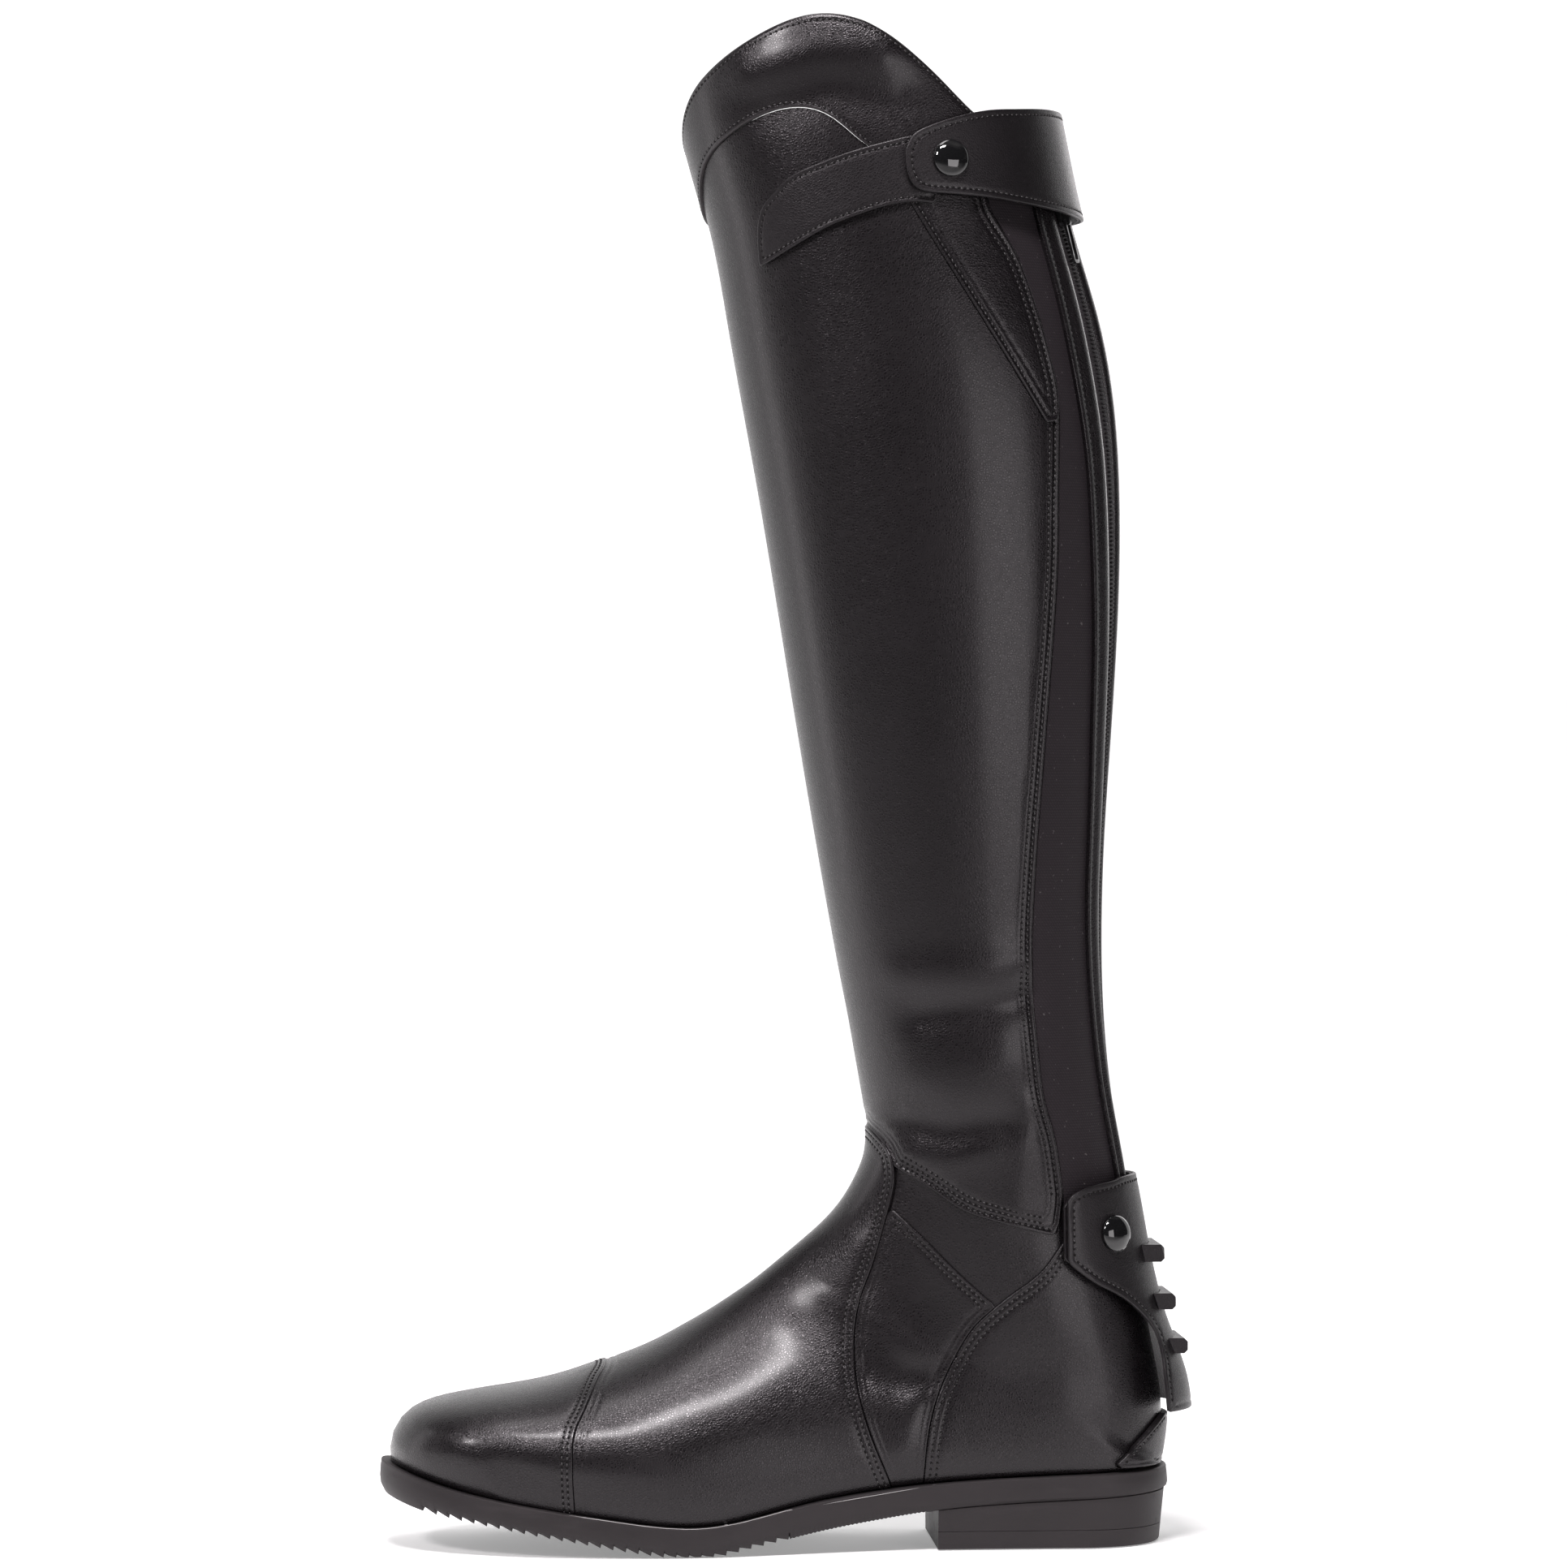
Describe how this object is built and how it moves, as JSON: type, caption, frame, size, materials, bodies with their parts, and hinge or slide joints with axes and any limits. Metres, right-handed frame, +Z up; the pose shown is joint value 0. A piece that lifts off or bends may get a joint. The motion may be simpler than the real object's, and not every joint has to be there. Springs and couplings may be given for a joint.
{
  "type": "riding boot",
  "caption": "Tall black leather dress riding boot with a back zip, snap-down top strap and spur flap, raised collar outside, toothed rubber sole and stacked heel.",
  "frame": {"origin": "middle of the heel's ground face, on the floor", "axes": "+Z up along the shaft, -X towards the toe, -Y towards the outer side of the leg"},
  "size_m": [0.2837, 0.1054, 0.5268],
  "materials": {
    "black_leather": "satin",
    "black_webbing": "matte",
    "lining_leather": "matte",
    "black_rubber": "matte",
    "gloss_black": "gloss",
    "black_metal": "satin"
  },
  "bodies": {
    "boot": {"upper": "black_leather", "shaft_panel": "black_leather", "vamp": "black_leather", "toe_cap": "black_leather", "quarter_outer": "black_leather", "quarter_inner": "black_leather", "heel_counter": "black_leather", "top_gusset": "black_leather", "leaf_tab": "black_leather", "top_strap": "black_leather", "spur_flap": "black_leather", "spur_flap_lining": "black_leather", "heel_strip": "black_leather", "zip_facing_outer": "black_leather", "zip_facing_inner": "black_leather", "zip_tape": "black_webbing", "spur_rest_1": "black_rubber", "spur_rest_2": "black_rubber", "spur_rest_3": "black_rubber", "strap_snap": "gloss_black", "flap_snap": "gloss_black", "zip_slider": "black_metal", "insole": "lining_leather", "outsole": "black_rubber", "heel_block": "black_rubber", "heel_top_piece": "black_rubber"},
    "pull_tab": {"zip_pull_tab": "black_metal"}
  },
  "joints": [
    {"name": "pull_tab_hinge", "type": "hinge", "parent": "boot", "child": "pull_tab", "pos_m": [0.00549, -0.01673, 0.45961], "axis": [-0.3732, -0.9237, -0.0869], "range_deg": [0, 70]}
  ]
}
